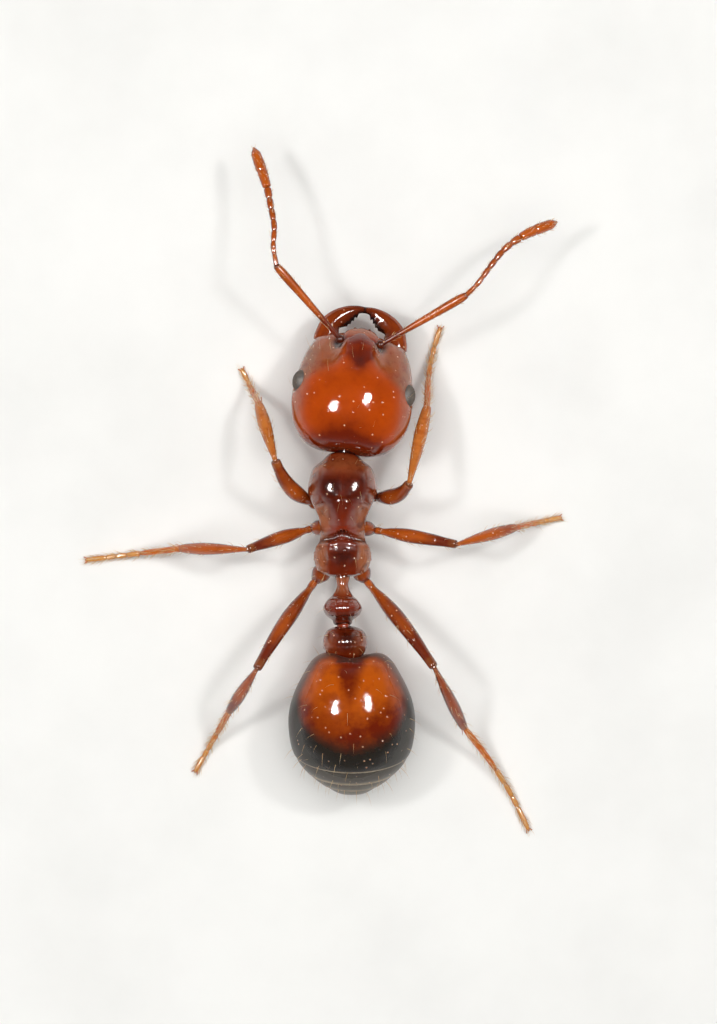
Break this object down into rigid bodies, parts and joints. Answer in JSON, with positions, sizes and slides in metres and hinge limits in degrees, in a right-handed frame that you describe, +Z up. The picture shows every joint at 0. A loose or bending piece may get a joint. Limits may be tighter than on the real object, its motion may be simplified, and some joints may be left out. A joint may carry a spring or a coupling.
{
  "type": "fire ant",
  "caption": "Fire ant worker, a still life-size model standing on its feet with feelers held forward.",
  "frame": {"origin": "middle of the ant's footprint, on the floor it stands on", "axes": "+Y along the body towards the head and feelers, +X to the ant's right, +Z up"},
  "size_m": [0.0058, 0.0082, 0.0014],
  "materials": {
    "head_shell": "glossy translucent orange-brown shell",
    "jaw_shell": "glossy brown shell with dark toothed edges",
    "eye": "dark faceted eye",
    "thorax_shell": "glossy dark red-brown shell",
    "gaster_front": "glossy orange-brown shell shading to black at the rear",
    "gaster_rear": "glossy near-black shell with thin pale plate edges",
    "leg_shell": "translucent amber shell with fine hairs",
    "foot_shell": "pale straw shell with fine hairs",
    "feeler_shell": "amber shell with a duller, finely haired club"
  },
  "bodies": {
    "root": {"antenna_left_club": "feeler_shell", "antenna_left_funiculus": "feeler_shell", "antenna_left_scape": "feeler_shell", "antenna_right_club": "feeler_shell", "antenna_right_funiculus": "feeler_shell", "antenna_right_scape": "feeler_shell", "eye_left": "eye", "eye_right": "eye", "front_left_coxa": "leg_shell", "front_left_femur": "leg_shell", "front_left_tarsus": "foot_shell", "front_left_tibia": "leg_shell", "front_right_coxa": "leg_shell", "front_right_femur": "leg_shell", "front_right_tarsus": "foot_shell", "front_right_tibia": "leg_shell", "gaster_1": "gaster_front", "gaster_2": "gaster_rear", "gaster_3": "gaster_rear", "gaster_4": "gaster_rear", "head": "head_shell", "hind_left_coxa": "leg_shell", "hind_left_femur": "leg_shell", "hind_left_tarsus": "foot_shell", "hind_left_tibia": "leg_shell", "hind_right_coxa": "leg_shell", "hind_right_femur": "leg_shell", "hind_right_tarsus": "foot_shell", "hind_right_tibia": "leg_shell", "mandible_left": "jaw_shell", "mandible_right": "jaw_shell", "mesothorax": "thorax_shell", "mid_left_coxa": "leg_shell", "mid_left_femur": "leg_shell", "mid_left_tarsus": "foot_shell", "mid_left_tibia": "leg_shell", "mid_right_coxa": "leg_shell", "mid_right_femur": "leg_shell", "mid_right_tarsus": "foot_shell", "mid_right_tibia": "leg_shell", "petiole": "thorax_shell", "postpetiole": "thorax_shell", "pronotum": "thorax_shell", "propodeum": "thorax_shell"}
  },
  "joints": []
}
